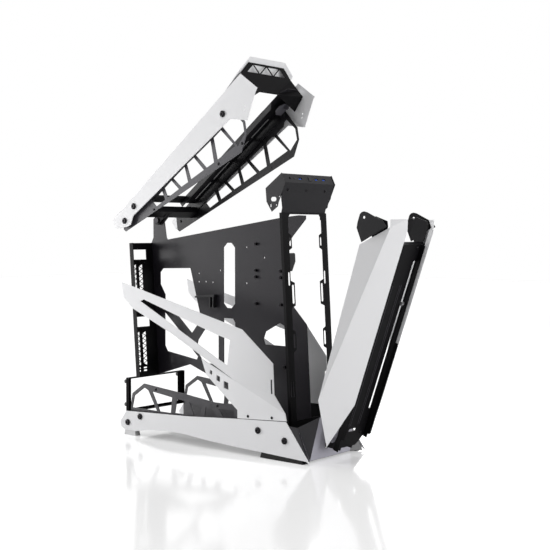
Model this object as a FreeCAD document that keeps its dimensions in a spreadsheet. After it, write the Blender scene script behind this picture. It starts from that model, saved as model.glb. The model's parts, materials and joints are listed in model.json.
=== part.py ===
import FreeCAD, Part
import math
import os

Vector = FreeCAD.Vector

# Open-frame computer test bench, shown with its lid swung up and its front door let down.
# +X is the front, +Y the right-hand side, +Z up. The origin is the middle of the base, on the floor.
# The lid is drawn in its own frame: u runs along its top edge, w stands square to it, from the lid pin.
# The door is drawn in its own frame: p points out of its face, q runs up its length, from the door pin.

document = FreeCAD.newDocument("open_test_bench")
sheet = document.addObject("Spreadsheet::Sheet", "sizes")

SIZES = {
    # sheet metal
    "panel_sheet": 2.0, "cover_sheet": 1.6, "truss_sheet": 2.0, "fit_gap": 0.3,
    # half widths of the layers, from the middle plane to the outer face
    "side_half": 118.0, "spacer_length": 9.0, "wing_flare": 12.0, "head_clearance": 2.0,
    "frame_half": 91.0, "frame_inner_half": 68.0, "shell_half": 57.0,
    # the motherboard tray and the rear panel that carries the slot covers
    "tray_side": 7.0, "rear_panel_half": 95.0, "tray_rear_top": 536.0, "tray_front_top": 612.0,
    "rear_top_reach": 335.0, "rear_rake": 4.0, "cover_pitch": 24.0, "cover_width": 18.0,
    "cover_vent_length": 92.0, "board_row": 157.5, "board_column": 85.0, "boss_radius": 4.0,
    "boss_height": 7.0, "boss_first_x": 62.0, "boss_first_z": 536.0, "boss_low_row": 17.0,
    "boss_mid_row": 70.0,
    # raked front frame
    "frame_base_x": 253.5, "frame_rake": 3.35, "frame_top": 616.0, "frame_flange": 9.0,
    # base
    "pan_height": 20.0, "pan_flange_low": 64.0, "pan_flange_high": 108.0, "pan_rear": 326.0,
    "pan_front": 262.0,
    "foot_height": 13.0, "psu_frame_x": 334.0, "psu_frame_low": 61.0, "psu_frame_high": 158.0,
    "psu_post_width": 18.0, "psu_frame_depth": 12.0, "knob_radius": 5.5, "knob_length": 9.0,
    # fasteners
    "bolt_radius": 8.6, "bolt_height": 4.5, "bolt_shank": 3.6, "bolt_hex": 3.0, "screw_radius": 3.6,
    "screw_height": 2.0, "screw_shank": 1.6, "spacer_radius": 6.5,
    # lid
    "lid_pin_x": -303.0, "lid_pin_z": 600.0, "lid_open": 37.4, "lid_pin_radius": 5.0,
    "lid_pin_clearance": 0.05,
    "lid_knuckle": 12.0, "lid_knuckle_gap": 0.4, "lid_rail_level": 22.0, "lid_rail_inner": 45.0,
    "lid_narrow_rail": 21.0,
    "fan_hole_half": 52.5, "fan_slot_width": 5.0,
    # door
    "door_pin_x": 292.0, "door_pin_z": 40.0, "door_lean": 19.4, "door_pin_radius": 4.0,
    "door_pin_clearance": 0.05, "door_arm_side": 26.0, "door_arm_sheet": 4.0, "door_web": 58.0,
    "door_edge": 81.0, "door_flange_edge": 72.0, "door_slot_width": 9.0,
    # controls
    "power_side": 11.0, "power_travel": 2.0, "reset_radius": 2.6, "reset_travel": 1.5, "button_gap": 0.3,
    "usb_width": 14.5, "usb_height": 7.0, "port_depth": 14.0, "jack_radius": 4.0,
}

for row, (alias, value) in enumerate(SIZES.items(), start=1):
    sheet.set("A%d" % row, alias)
    sheet.set("B%d" % row, str(value))
    sheet.setAlias("B%d" % row, alias)
document.recompute()


def size(alias):
    return float(sheet.get(alias))


NODES = []


def keep(node):
    NODES.append(node)
    return node


def feature(label, shape):
    node = document.addObject("Part::Feature", label)
    node.Shape = shape
    node.Label = label
    return keep(node)


def origin_plane(body, role):
    return [item for item in body.Origin.OriginFeatures if item.Role == role][0]


def draw_loop(sketch, points):
    corners = [Vector(first, second, 0) for first, second in points]
    for start, end in zip(corners, corners[1:] + corners[:1]):
        sketch.addGeometry(Part.LineSegment(start, end), False)


def draw_circle(sketch, centre, radius):
    sketch.addGeometry(Part.Circle(Vector(centre[0], centre[1], 0), Vector(0, 0, 1), radius), False)


def flat_plate(label, outline, windows, circles, sheet_alias, outer_y):
    """A plate cut from sheet: its outer or near face lies at outer_y and its thickness runs towards -Y."""
    body = document.addObject("PartDesign::Body", label)
    sketch = body.newObject("Sketcher::SketchObject", label + "_outline")
    sketch.AttachmentSupport = [(origin_plane(body, "XZ_Plane"), "")]
    sketch.MapMode = "FlatFace"
    draw_loop(sketch, outline)
    for window in windows:
        draw_loop(sketch, window)
    for centre, radius in circles:
        draw_circle(sketch, centre, radius)
    pad = body.newObject("PartDesign::Pad", label + "_sheet")
    pad.Profile = sketch
    pad.setExpression("Length", "sizes." + sheet_alias)
    body.Label = label
    body.setExpression("Placement.Base.y", outer_y)
    return keep(body)


def mirror_y(shape):
    return shape.mirror(Vector(0, 0, 0), Vector(0, 1, 0))


def tilt(pin_x, pin_z, angle):
    """Placement of a piece drawn about a pin and turned about Y, so that +X swings up by the angle."""
    return FreeCAD.Placement(Vector(pin_x, 0, pin_z), FreeCAD.Rotation(Vector(0, 1, 0), -angle))


def prism_y(points, y_from, y_to):
    corners = [Vector(x, y_from, z) for x, z in points]
    face = Part.Face(Part.makePolygon(corners + corners[:1]))
    return face.extrude(Vector(0, y_to - y_from, 0))


def prism_x(points, x_from, x_to):
    corners = [Vector(x_from, y, z) for y, z in points]
    face = Part.Face(Part.makePolygon(corners + corners[:1]))
    return face.extrude(Vector(x_to - x_from, 0, 0))


def cylinder_y(x, z, radius, y_from, y_to):
    direction = 1 if y_to > y_from else -1
    return Part.makeCylinder(radius, abs(y_to - y_from), Vector(x, y_from, z), Vector(0, direction, 0))


def slot_loop(centre_first, centre_second, width, length):
    """A slot with chamfered corners, its length along the second direction."""
    half, reach, corner = width / 2, length / 2, min(width, length) * 0.3
    points = [(-half + corner, -reach), (half - corner, -reach), (half, -reach + corner),
              (half, reach - corner),
              (half - corner, reach), (-half + corner, reach), (-half, reach - corner),
              (-half, -reach + corner)]
    return [(centre_first + first, centre_second + second) for first, second in points]


def folded_sheet(points, facets, thickness):
    """Bends flat facets into one sheet. Facets name their corners anticlockwise as seen from outside."""
    normals = []
    for facet in facets:
        corners = [points[name] for name in facet]
        normal = Vector(0, 0, 0)
        for here, there in zip(corners, corners[1:] + corners[:1]):
            normal = normal + here.cross(there)
        normals.append(normal.normalize())
    inner = {}
    for name, corner in points.items():
        around = [normal for facet, normal in zip(facets, normals) if name in facet]
        inner[name] = corner + inward_step(around, thickness)
    faces = []
    edges = {}
    for facet in facets:
        loop = list(facet)
        faces.extend(flat_faces([points[name] for name in loop]))
        faces.extend(flat_faces([inner[name] for name in reversed(loop)]))
        for here, there in zip(loop, loop[1:] + loop[:1]):
            edges[(here, there)] = True
    for here, there in edges:
        if (there, here) not in edges:
            faces.extend(flat_faces([points[here], inner[here], inner[there]]))
            faces.extend(flat_faces([points[here], inner[there], points[there]]))
    solid = Part.Solid(Part.Shell(faces))
    if solid.Volume < 0:
        solid.reverse()
    return solid.removeSplitter()


def inward_step(normals, thickness):
    """The short step that leaves every given plane by the sheet's thickness, towards its inside."""
    step = Vector(0, 0, 0)
    for _ in range(400):
        for normal in normals:
            step = step - normal * (step.dot(normal) + thickness)
    return step


def flat_faces(corners):
    """One face where the corners lie in a plane, else a fan of triangles."""
    face_normal = (corners[1] - corners[0]).cross(corners[2] - corners[0]).normalize()
    if max(abs((corner - corners[0]).dot(face_normal)) for corner in corners) < 1e-6:
        return [Part.Face(Part.makePolygon(corners + corners[:1]))]
    fan = []
    for second, third in zip(corners[1:-1], corners[2:]):
        fan.append(Part.Face(Part.makePolygon([corners[0], second, third, corners[0]])))
    return fan


def on_plane(first, second, third, x, z):
    """The point of a plane that lies over x and z."""
    normal = (second - first).cross(third - first)
    y = first.y - (normal.x * (x - first.x) + normal.z * (z - first.z)) / normal.y
    return Vector(x, y, z)


def strip_profile(points, thickness):
    """The section of a sheet folded along points in one plane, with its thickness on the right-hand side."""
    inside = []
    for index, point in enumerate(points):
        before = points[max(index - 1, 0)]
        after = points[min(index + 1, len(points) - 1)]
        normals = []
        for start, end in ((before, point), (point, after)):
            run = Vector(end[0] - start[0], end[1] - start[1], 0)
            if run.Length > 0:
                run.normalize()
                normals.append(Vector(-run.y, run.x, 0))
        step = inward_step(normals, thickness)
        inside.append((point[0] + step.x, point[1] + step.y))
    return list(points) + inside[::-1]


def button_head(radius, height, socket, shank, reach):
    """A low domed hex-socket bolt along +Z, its head above z = 0 and its shank below."""
    base = height * 0.45
    dome = Part.makeCone(radius, radius * 0.62, height - base, Vector(0, 0, base))
    head = Part.makeCylinder(radius, base).fuse(dome)
    recess = Part.makePolygon([Vector(socket * math.cos(math.radians(60 * k)),
                                      socket * math.sin(math.radians(60 * k)),
                                      height * 0.4) for k in range(7)])
    head = head.cut(Part.Face(recess).extrude(Vector(0, 0, height)))
    return head.fuse(Part.makeCylinder(shank, reach, Vector(0, 0, -reach))).removeSplitter()


def along_y(shape, x, y, z, side):
    """Turns a bolt drawn along +Z so that its head points to the given side of the machine."""
    turned = shape.copy()
    turned.Placement = FreeCAD.Placement(Vector(x, y, z), FreeCAD.Rotation(Vector(1, 0, 0), -90 * side))
    return turned


def frame_x(z):
    return size("frame_base_x") - z * math.tan(math.radians(size("frame_rake")))


def rear_x(z):
    return -size("rear_top_reach") + (size("tray_rear_top") - z) * math.tan(math.radians(size("rear_rake")))


PANEL = size("panel_sheet")
COVER = size("cover_sheet")
TRUSS = size("truss_sheet")
GAP = size("fit_gap")
PAN_HALF = size("side_half") - PANEL
TRUSS_HALF = PAN_HALF - size("spacer_length")
HEAD_HALF = TRUSS_HALF - TRUSS - size("head_clearance")
WING_HALF = size("side_half") + size("wing_flare")
TRUSS_LEFT = "-(sizes.side_half - sizes.panel_sheet - sizes.spacer_length - sizes.truss_sheet)"
TRUSS_RIGHT = "sizes.side_half - sizes.panel_sheet - sizes.spacer_length"

LID = tilt(size("lid_pin_x"), size("lid_pin_z"), size("lid_open"))
DOOR = tilt(size("door_pin_x"), size("door_pin_z"), -size("door_lean"))


# Base: side plates, pan, nose, trusses, power supply frame, feet

BASE_BOLTS = [(-319.6, 35.0), (-269.4, 56.0), (161.5, 68.0), (247.7, 51.8)]
SIDE_PLATE = [(-326, 66), (-351, 34), (-346, 20), (-330, size("foot_height")), (-288, size("foot_height")),
              (-240, 22), (-168, 29), (-90, 27), (-19, 21), (101, 16), (170, 14), (316, 9), (328, 2),
              (252, 99), (84, 89), (-76, 77)]


def make_base_sides():
    holes = [(place, size("bolt_shank") + GAP) for place in BASE_BOLTS]
    flat_plate("side_plate_left", SIDE_PLATE, [], holes, "panel_sheet",
               "-sizes.side_half + sizes.panel_sheet")
    flat_plate("side_plate_right", SIDE_PLATE, [], holes, "panel_sheet", "sizes.side_half")


def floor_profile():
    """The pan's floor from rear to front: it rises to an arch under the power supply."""
    level = size("pan_height")
    return [(-size("pan_rear"), level), (-270, level), (-168, level + 11), (-90, level + 10),
            (20, level + 3),
            (100, level), (size("pan_front"), level)]


def make_base_pan():
    half, floor = PAN_HALF, size("pan_height")
    rear, front = -size("pan_rear"), size("pan_front")
    low, high = size("pan_flange_low"), size("pan_flange_high")
    section = floor_profile() + [(front, 70), (246, 90), (246, high), (96, high), (84, 86), (-40, low),
                                 (rear, low)]
    pan = prism_y(section, -half, half)
    inner = [(x, z + PANEL) for x, z in floor_profile()]
    inner = [(rear - 1, floor + PANEL)] + inner + [(front + 1, floor + PANEL), (front + 1, high + 1),
                                                   (rear - 1, high + 1)]
    pan = pan.cut(prism_y(inner, -half + PANEL, half - PANEL))
    for x in range(-280, -120, 14):
        slot = slot_loop(x, 0, 7, 110)
        pan = pan.cut(Part.Face(Part.makePolygon([Vector(a, b, floor - 1) for a,
                                                  b in slot + slot[:1]])).extrude(
            Vector(0, 0, PANEL + 14)))
    for x in range(-20, 190, 14):
        slot = slot_loop(x, 0, 7, 130)
        pan = pan.cut(Part.Face(Part.makePolygon([Vector(a, b, floor - 1) for a,
                                                  b in slot + slot[:1]])).extrude(
            Vector(0, 0, PANEL + 14)))
    for x, z in BASE_BOLTS:
        pan = pan.cut(cylinder_y(x, z, size("bolt_shank") + GAP, -half - 1, -half + PANEL + 1))
        pan = pan.cut(cylinder_y(x, z, size("bolt_shank") + GAP, half + 1, half - PANEL - 1))
    for x, z in SKIRT_HOLES:
        for side in (-1, 1):
            pan = pan.cut(cylinder_y(x, z, size("screw_shank") + GAP, side * (half + 1),
                                     side * (half - PANEL - 1)))
    feature("base_pan", pan.removeSplitter())


def make_nose():
    """The black nose of the base: a face that leans forward, and a folded corner at each side."""
    half = size("side_half") - PANEL - GAP
    points = {
        "top_left": Vector(323, -73, 112), "top_right": Vector(323, 73, 112),
        "low_left": Vector(301, -84, 3), "low_right": Vector(301, 84, 3),
        "toe_left": Vector(318, -half, 3), "toe_right": Vector(318, half, 3),
        "cheek_left": Vector(258, -half, 90), "cheek_right": Vector(258, half, 90),
        "dip_left": Vector(279, -106, 86), "dip_right": Vector(279, 106, 86),
    }
    facets = [("low_left", "low_right", "top_right", "top_left"),
              ("low_left", "top_left", "dip_left"), ("low_right", "dip_right", "top_right"),
              ("toe_left", "low_left", "dip_left"), ("toe_right", "dip_right", "low_right"),
              ("toe_left", "dip_left", "cheek_left"), ("toe_right", "cheek_right", "dip_right")]
    nose = folded_sheet(points, facets, PANEL)
    notch = [(6, 36), (20, 27), (28, 27), (43, 76), (28, 66), (20, 56)]
    for side in (-1, 1):
        nose = nose.cut(prism_x([(side * y, z) for y, z in notch], 280, 330))
    feature("nose_cover", nose)


def make_feet():
    """Rubber pads under the rear of both side plates and a strip under the front of each."""
    pads = []
    strips = []
    foot = size("foot_height")
    for side in (-1, 1):
        outer = side * (size("side_half") + 2)
        inner = side * (size("side_half") - 16)
        pads.append(prism_y([(-332, 0), (-286, 0), (-289, foot), (-329, foot)], inner, outer))
        strip = [(168, 0), (306, 0), (300, 9.2), (172, 13.6)]
        strips.append(prism_y(strip, inner, side * size("side_half")))
    feature("rear_feet", Part.makeCompound(pads))
    feature("front_foot_strips", Part.makeCompound(strips))


BASE_TRUSS = [(-324, 66), (-312, 116), (-265, 147), (-114, 134), (8, 121), (78, 122), (92, 100)]
BASE_TRUSS_WINDOWS = [
    [(-312, 76), (-303, 110), (-263, 136), (-248, 130), (-214, 76)],
    [(-232, 128), (-155, 119), (-160, 76), (-202, 76)],
    [(-136, 117), (-108, 114), (-92, 78), (-144, 78)],
    [(-90, 112), (-44, 107), (-50, 78), (-72, 78)],
    [(-30, 105), (-4, 102), (12, 80), (-34, 78)],
    [(18, 106), (70, 107), (70, 80), (38, 80)],
]
BASE_TRUSS_SCREWS = [(-218, 135), (12, 113)]


def make_base_trusses():
    circles = [(place, size("screw_shank")) for place in BASE_TRUSS_SCREWS]
    rear = -size("psu_frame_x") + size("psu_frame_depth") + GAP
    outline = [(max(x, rear), z) for x, z in BASE_TRUSS]
    front = BASE_TRUSS[-1][0]
    foot = [(x, z + PANEL) for x, z in floor_profile() if rear < x < front]
    before, after = floor_profile()[-3:-1]
    share = (front - before[0]) / (after[0] - before[0])
    outline += [(front, before[1] + (after[1] - before[1]) * share + PANEL)] + foot[::-1]
    outline += [(rear, size("pan_height") + PANEL)]
    flat_plate("base_truss_left", outline, BASE_TRUSS_WINDOWS, circles, "truss_sheet", TRUSS_LEFT)
    flat_plate("base_truss_right", outline, BASE_TRUSS_WINDOWS, circles, "truss_sheet", TRUSS_RIGHT)


def make_psu_frame():
    """The frame that the power supply's rear end is screwed to, with four thumbscrews on it."""
    half, post = TRUSS_HALF + 4, size("psu_post_width")
    low, high, depth = size("psu_frame_low"), size("psu_frame_high"), size("psu_frame_depth")
    x = -size("psu_frame_x")
    frame = prism_x([(-half, low), (half, low), (half, high), (-half, high)], x, x + depth)
    opening = [(-half + post, low + 8), (half - post, low + 8), (half - post, high - 5),
               (-half + post, high - 5)]
    frame = frame.cut(prism_x(opening, x - 1, x + depth + 1))
    hollow = [(-half + PANEL, low + PANEL), (half - PANEL, low + PANEL), (half - PANEL, high - PANEL),
              (-half + PANEL, high - PANEL)]
    frame = frame.cut(prism_x(hollow, x + PANEL, x + depth + 1))
    feature("psu_frame", frame)
    knobs = []
    for side in (-1, 1):
        for z in (low + 20, high - 12):
            y = side * (half - post / 2)
            knob = Part.makeCylinder(size("knob_radius"), size("knob_length"), Vector(x, y, z),
                                     Vector(-1, 0, 0))
            tip = Part.makeCylinder(size("knob_radius") * 0.6, 3, Vector(x - size("knob_length"), y, z),
                                    Vector(-1, 0, 0))
            knobs.append(knob.fuse(tip).removeSplitter())
    feature("psu_thumbscrews", Part.makeCompound(knobs))


def make_base_bolts():
    bolt = button_head(size("bolt_radius"), size("bolt_height"), size("bolt_hex"), size("bolt_shank"),
                       2 * PANEL + 3)
    bolts = []
    for side in (-1, 1):
        for x, z in BASE_BOLTS:
            bolts.append(along_y(bolt, x, side * size("side_half"), z, side))
    feature("base_bolts", Part.makeCompound(bolts))


# Body: tray, rear panel, slot covers, front frame, shrouds

def make_tray():
    outline = [(rear_x(160), 160), (rear_x(size("tray_rear_top")), size("tray_rear_top")), (-327, 552),
               (-327, 604),
               (-315, 614), (-291, 614), (-283, 604), (-274, 552), (-270, 546), (151, 605), (205, 610),
               (228, 609),
               (228, 600), (186, 557), (168, 535), (168, 398), (187, 376), (frame_x(331) - 2.3, 331),
               (frame_x(22) - 2.3, 22), (100, 22), (40, 60), (40, 118), (-117, 176), (-182, 198),
               (-215, 188)]
    windows = [
        [(-299, 453), (-288, 464), (-180, 467), (-140, 330), (-153, 311), (-175, 286), (-231, 334),
         (-280, 376),
         (-280, 390), (-299, 419)],
        [(-281, 340), (-200, 271), (-184, 250), (-152, 222), (-156, 213), (-271, 229), (-281, 244)],
        slot_window(-34, 450, 41, 176),
        [(-54, 334), (-21, 334), (-13, 324), (-13, 206), (-54, 206)],
        [(-122, 303), (-74, 289), (-74, 206), (-128, 206), (-158, 240), (-150, 269)],
        [(95, 306), (143, 331), (159, 324), (163, 272), (93, 272), (87, 285)],
    ]
    circles = [((size("lid_pin_x"), size("lid_pin_z")), size("lid_pin_radius") + size("lid_pin_clearance"))]
    circles += [(place, 2.0) for place in TRAY_HOLES]
    circles += [(place, size("screw_shank")) for place in boss_places()]
    flat_plate("motherboard_tray", outline, windows, circles, "panel_sheet", "-sizes.tray_side")


TRAY_HOLES = [(28, 527), (28, 431), (-147, 453), (-147, 430), (-121, 431), (-67, 463), (-95, 430), (90, 500)]


def slot_window(centre_x, centre_z, width, length):
    return slot_loop(centre_x, centre_z, width, length)


def boss_places():
    """Where the board's screws go: four of them stand in a rectangle, the others on its grid's edge."""
    first_x, first_z = size("boss_first_x"), size("boss_first_z")
    second_x = first_x + size("board_column")
    upper = first_z - size("boss_mid_row")
    lower = upper - size("boss_low_row")
    last = first_z - size("board_row")
    return [(first_x, first_z), (first_x, upper), (first_x, lower), (first_x + 2, last),
            (second_x, upper), (second_x, lower), (second_x + 2, last), (162, 218)]


def make_bosses():
    """Black threaded standoffs that the motherboard is screwed to."""
    face = -size("tray_side") - PANEL
    end = face - size("boss_height")
    bosses = []
    for x, z in boss_places():
        boss = cylinder_y(x, z, size("boss_radius"), face, end)
        bosses.append(boss.cut(cylinder_y(x, z, size("screw_shank"), face + 1, end - 1)))
    feature("board_standoffs", Part.makeCompound(bosses))


def make_pump_hanger():
    """The small bar with two prongs that hangs on the tray."""
    face = -size("tray_side") - PANEL
    bar = prism_y([(-152, 391), (-80, 397), (-80, 391), (-152, 386)], face, face - 12)
    bar = bar.fuse(prism_y([(-98, 392), (-94, 392), (-94, 362), (-98, 362)], face, face - 12))
    bar = bar.fuse(prism_y([(-86, 392), (-82, 392), (-82, 362), (-86, 362)], face, face - 12))
    feature("tray_hanger", bar.removeSplitter())


UPPER_COVER_TOP = 480.0
LOWER_COVER_TOP = 290.0


def cover_centres():
    inner = -size("tray_side") - PANEL - 41
    first = inner - size("cover_width") / 2
    return [first - size("cover_pitch") * index for index in range(2)]


def make_rear_panel():
    """The panel behind the slots, that leans with the tray's rear edge and holds two pairs of covers."""
    near, far = -size("rear_panel_half"), -size("tray_side") - PANEL
    low, high = 160.0, size("tray_rear_top")
    reach = (high - low) / math.cos(math.radians(size("rear_rake")))
    panel = prism_x([(near, 0), (far, 0), (far, reach), (near, reach)], 0, PANEL)
    left, right = near + PANEL + 2, -34
    for cover_top in (UPPER_COVER_TOP, LOWER_COVER_TOP):
        top = cover_top - low
        bracket = [(left, top + 10), (right, top + 10), (right, top + 38), (left, top + 38)]
        panel = panel.cut(prism_x(bracket, -1, PANEL + 1))
        for centre in cover_centres():
            half = size("cover_width") / 2 - 1.2
            length = size("cover_vent_length") + 6
            panel = panel.cut(prism_x([(centre - half, top - length), (centre + half, top - length),
                                       (centre + half, top), (centre - half, top)], -1, PANEL + 1))
    for centre in cover_centres():
        for z in (14, 22, 30):
            panel = panel.cut(prism_x([(centre - 7, z), (centre + 6, z), (centre + 6, z + 4),
                                       (centre - 7, z + 4)],
                                      -1, PANEL + 1))
    flange = prism_y([(0, 0), (14, 0), (14, reach), (0, reach)], near, near + PANEL)
    shape = panel.fuse(flange).removeSplitter()
    shape.Placement = rear_placement()
    feature("rear_panel", shape)


def rear_placement():
    return FreeCAD.Placement(Vector(rear_x(160), 0, 160),
                             FreeCAD.Rotation(Vector(0, 1, 0), -size("rear_rake")))


def make_slot_covers():
    """Vented covers that close the card slots: a lattice of triangular vents in a narrow strip."""
    rows = 13
    for label, cover_top in (("slot_covers_upper", UPPER_COVER_TOP), ("slot_covers_lower", LOWER_COVER_TOP)):
        covers = []
        for centre in cover_centres():
            half = size("cover_width") / 2
            top = cover_top - 160
            length = size("cover_vent_length") + 12
            strip = prism_x([(centre - half, top - length), (centre + half, top - length),
                             (centre + half, top + 8),
                             (centre - half, top + 8)], PANEL + 0.01, PANEL + 1.2)
            tab = prism_x([(centre - half, top + 6), (centre + half, top + 6), (centre + half, top + 8),
                           (centre - half, top + 8)], PANEL + 0.01, PANEL + 11)
            strip = strip.fuse(tab)
            pitch = size("cover_vent_length") / rows
            vents = []
            for row in range(rows):
                z = top - 2 - (row + 1) * pitch
                flip = 7.0 if row % 2 else -7.0
                vents.append([(centre - flip, z - pitch + 1), (centre - flip, z + pitch - 1),
                              (centre + flip * 0.7, z)])
            for vent in vents:
                strip = strip.cut(prism_x(vent, PANEL - 1, PANEL + 3))
            covers.append(strip.removeSplitter())
        shape = Part.makeCompound(covers)
        shape.Placement = rear_placement()
        feature(label, shape)


def make_slot_screws():
    screws = []
    for cover_top in (UPPER_COVER_TOP, LOWER_COVER_TOP):
        for centre in cover_centres():
            top = cover_top - 160 + 8
            screw = Part.makeCylinder(size("screw_radius"), 3.2, Vector(PANEL + 6.5, centre, top))
            screws.append(screw)
    shape = Part.makeCompound(screws)
    shape.Placement = rear_placement()
    feature("slot_screws", shape)


FRAME_SLOTS = [(73.5, 451, 7, 34), (74, 175, 6, 38), (84, 175, 6, 38)]
FRAME_TAB_SLOTS = [(63, 544, 7, 22), (59.5, 412, 9, 48), (63, 295, 8, 36)]


def make_front_frame():
    """The raked front frame: two posts with slots and slotted tabs, a sill, and a flange down each side."""
    half, inner = size("frame_half"), size("frame_inner_half")
    rake = math.cos(math.radians(size("frame_rake")))
    high = size("frame_top") / rake
    low = (size("pan_height") + PANEL + 1.2) / rake
    sill = 96.0
    frame = prism_x([(-half, low), (half, low), (half, high), (-half, high)], -PANEL, 0)
    frame = frame.cut(prism_x([(-inner, sill), (inner, sill), (inner, high - 14), (inner - 8, high - 4),
                               (-inner + 8, high - 4), (-inner, high - 14)], -PANEL - 1, 1))
    for side in (-1, 1):
        for tab_y, tab_z, width, length in FRAME_TAB_SLOTS:
            reach = length / 2 + 5
            tab = [(inner + 1, tab_z - reach - 6), (tab_y - width / 2 - 2.5, tab_z - reach),
                   (tab_y - width / 2 - 2.5, tab_z + reach), (inner + 1, tab_z + reach + 6)]
            frame = frame.fuse(prism_x([(side * y, z) for y, z in tab], -PANEL, 0))
        for slot_y, slot_z, width, length in FRAME_SLOTS + FRAME_TAB_SLOTS:
            loop = slot_loop(slot_y, slot_z, width, length)
            frame = frame.cut(prism_x([(side * y, z) for y, z in loop], -PANEL - 1, 1))
        flange = prism_x([(side * half, low), (side * (half - PANEL), low), (side * (half - PANEL), high),
                          (side * half, high)], -size("frame_flange"), -PANEL)
        frame = frame.fuse(flange)
    frame = frame.removeSplitter()
    frame.Placement = FreeCAD.Placement(Vector(size("frame_base_x"), 0, 0),
                                        FreeCAD.Rotation(Vector(0, 1, 0), -size("frame_rake")))
    feature("front_frame", frame)


def make_cable_clip():
    """A hook on the left post of the front frame, with a curled top, that holds the front panel's leads."""
    edge = -size("frame_inner_half") + GAP
    rim = edge + 21.7
    hook = prism_x([(edge, 470), (edge + 7, 470), (rim, 494), (rim, 511), (edge, 511)], -PANEL, 0)
    curl = Part.makeCylinder(5, 21.7, Vector(-5, edge, 511), Vector(0, 1, 0))
    curl = curl.cut(Part.makeCylinder(3.2, 30, Vector(-5, edge - 2, 511), Vector(0, 1, 0)))
    curl = curl.cut(Part.makeBox(5, 30, 5, Vector(-10, edge - 2, 506)))
    clip = hook.fuse(curl).removeSplitter()
    clip.Placement = FreeCAD.Placement(Vector(size("frame_base_x"), 0, 0),
                                       FreeCAD.Rotation(Vector(0, 1, 0), -size("frame_rake")))
    feature("cable_clip", clip)


def make_shrouds():
    """The white wing and shroud at each side, folded from one sheet."""
    wing, skirt = -WING_HALF, -size("side_half")
    front_half = -111.0
    points = {
        "tip_top": Vector(-329, wing, 428), "tip_low": Vector(-320, wing, 386),
        "knee": Vector(-283, wing, 356),
        "low_mid": Vector(-136, wing, 297), "fold_low": Vector(97, wing, 188),
        "fold_top": Vector(119, wing, 321),
        "front_top": Vector(205, front_half, 239), "front_low": Vector(209, front_half, 161),
        "skirt_rear": Vector(92, skirt, 112), "skirt_front": Vector(250, skirt, 119),
        "hem_rear": Vector(92, skirt, 91), "hem_front": Vector(254, skirt, 101),
        "tongue_top": Vector(-32, -121, 236), "tongue_low": Vector(-16, -119, 194),
    }
    facets = [
        ("tip_top", "tip_low", "knee", "low_mid", "fold_low", "fold_top"),
        ("fold_top", "fold_low", "front_low", "front_top"),
        ("fold_low", "skirt_rear", "skirt_front", "front_low"),
        ("skirt_rear", "hem_rear", "hem_front", "skirt_front"),
        ("fold_low", "tongue_top", "tongue_low", "skirt_rear"),
    ]
    shroud = folded_sheet(points, facets, COVER)
    arm = [(-254, 378), (-240, 383), (-120, 347), (27, 304), (77, 292), (68, 226), (30, 243)]
    shroud = shroud.cut(prism_y(arm, wing - 5, wing + 5))
    for x, z, side in ((3, 202, 11), (30, 188, 15), (58, 173, 19)):
        square = [(x - side / 2, z - side / 2 + 2), (x + side / 2 - 2, z - side / 2 - 2),
                  (x + side / 2, z + side / 2 - 2),
                  (x - side / 2 + 2, z + side / 2 + 2)]
        shroud = shroud.cut(prism_y(square, wing - 5, skirt + 8))
    slot = [(199, 163), (204, 163), (203, 199), (198, 199)]
    shroud = shroud.cut(prism_y(slot, wing - 5, front_half + 12))
    for x, z in SKIRT_HOLES:
        shroud = shroud.cut(cylinder_y(x, z, size("screw_shank") + GAP, skirt - 3, skirt + 5))
    feature("shroud_left", shroud)
    feature("shroud_right", mirror_y(shroud))


SKIRT_HOLES = [(128, 100), (207, 104.6)]


def make_skirt_screws():
    screw = button_head(size("screw_radius"), size("screw_height"), 1.2, size("screw_shank"),
                        COVER + PANEL + 2)
    screws = []
    for side in (-1, 1):
        for x, z in SKIRT_HOLES:
            screws.append(along_y(screw, x, side * size("side_half"), z, side))
    feature("skirt_screws", Part.makeCompound(screws))


# Control head on top of the front frame

HEAD_PROFILE = [(176, 678), (225, 712.5), (236.5, 690), (228, 667)]
HEAD_SIDE = [(226, 714), (174, 677), (177, 643), (194, 618), (213, 631), (215, 640), (228, 667), (238, 690)]


def face_frame():
    """Placement on the sloped control face: x along +Y, y up the slope, z out of the face."""
    top, low = HEAD_PROFILE[1], HEAD_PROFILE[2]
    up = Vector(top[0] - low[0], 0, top[1] - low[1]).normalize()
    along = Vector(0, 1, 0)
    out = along.cross(up)
    middle = Vector((top[0] + low[0]) / 2, 0, (top[1] + low[1]) / 2)
    return FreeCAD.Placement(middle, FreeCAD.Rotation(along, up, out, "XYZ"))


CONTROLS = {"audio_jack": (-77, 0), "reset_button": (-58, 0), "usb_first": (-35, 0), "power_button": (4, 0),
            "usb_second": (31, 0), "usb_third": (62, 0)}


def control_box(name, width, height, low, high):
    across, up = CONTROLS[name]
    block = Part.makeBox(width, height, high - low, Vector(across - width / 2, up - height / 2, low))
    block.Placement = face_frame().multiply(block.Placement)
    return block


def control_cylinder(name, radius, low, high):
    across, up = CONTROLS[name]
    round_part = Part.makeCylinder(radius, high - low, Vector(across, up, low))
    round_part.Placement = face_frame().multiply(round_part.Placement)
    return round_part


USB_NAMES = ["usb_first", "usb_second", "usb_third"]


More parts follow.
